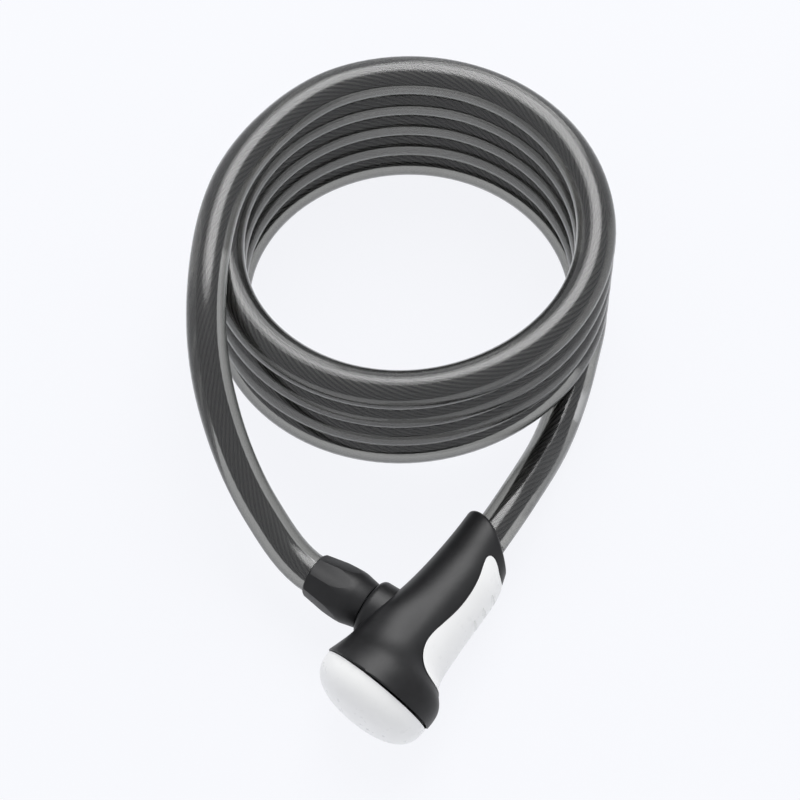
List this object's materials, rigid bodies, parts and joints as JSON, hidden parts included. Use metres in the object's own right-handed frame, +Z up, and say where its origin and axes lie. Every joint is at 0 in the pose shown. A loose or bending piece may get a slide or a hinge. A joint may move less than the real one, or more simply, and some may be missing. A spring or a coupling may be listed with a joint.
{
  "type": "cable lock",
  "caption": "Key-locked cable lock: a T-shaped head with a domed dust cover and a pull-out plug, on a smoky jacketed steel cable wound in a stacked coil.",
  "frame": {"origin": "under the middle of the head with its plug in, at the level of the surface that it stands on", "axes": "+X along the head's axis from the dust cover towards the cable end, +Y along the way the plug pulls out, +Z up"},
  "size_m": [0.191, 0.1471, 0.0636],
  "materials": {
    "shell_black": "satin moulded, near black",
    "grip_white": "white, soft gloss",
    "collar_black": "black, soft gloss",
    "seal_rubber": "black nitrile",
    "body_cast": "as cast, grey",
    "cylinder_brass": "turned",
    "wafer_brass": "stamped",
    "seat_black": "matt black",
    "pin_steel": "ground",
    "ferrule_steel": "crimped",
    "core_steel": "galvanised wire",
    "screw_steel": "blackened",
    "cable_vinyl": "smoky translucent vinyl over a twisted steel core, glossy",
    "plug_black": "satin moulded, near black",
    "latch_steel": "stamped and deburred",
    "cover_white": "white, soft gloss"
  },
  "bodies": {
    "head": {"head_shell": "shell_black", "grip_insert": "grip_white", "collar": "collar_black", "port_seal": "seal_rubber", "lock_body": "body_cast", "cylinder_sleeve": "cylinder_brass", "cover_seat": "seat_black", "cover_pivot": "pin_steel", "tail_ferrule": "ferrule_steel", "tail_core_end": "core_steel", "ferrule_pin": "pin_steel", "shell_screw": "screw_steel", "cable_coil": "cable_vinyl", "tail_lead": "cable_vinyl"},
    "plug": {"locking_pin": "pin_steel", "plug_housing": "plug_black", "plug_ferrule": "ferrule_steel", "plug_cross_pin": "pin_steel", "plug_core_end": "core_steel", "plug_lead": "cable_vinyl"},
    "rotor": {"rotor": "cylinder_brass", "drive_pin": "pin_steel"},
    "wafers": {"wafer_1": "wafer_brass", "wafer_2": "wafer_brass", "wafer_3": "wafer_brass", "wafer_4": "wafer_brass", "wafer_5": "wafer_brass"},
    "latch": {"latch": "latch_steel"},
    "cover": {"dust_cover": "cover_white"}
  },
  "joints": [
    {"name": "plug_pull", "type": "slide", "parent": "head", "child": "plug", "axis": [0, 1, 0], "range_m": [0, 0.027]},
    {"name": "key_turn", "type": "hinge", "parent": "head", "child": "rotor", "pos_m": [-0.01324, -0.00935, 0.0186], "axis": [1, 0, 0], "range_deg": [0, 90]},
    {"name": "wafer_lift", "type": "slide", "parent": "rotor", "child": "wafers", "axis": [0, 0, 1], "range_m": [0, 0.0007]},
    {"name": "latch_slide", "type": "slide", "parent": "head", "child": "latch", "axis": [0, 0, 1], "range_m": [0, 0.00254]},
    {"name": "cover_swing", "type": "hinge", "parent": "head", "child": "cover", "pos_m": [-0.02684, -0.00387, 0.03138], "axis": [-0.9775, 0.12, -0.1736], "range_deg": [0, 130]}
  ],
  "couplings": [
    {"joint": "key_turn", "follows": "latch_slide", "rad_per_m": 617.05}
  ]
}
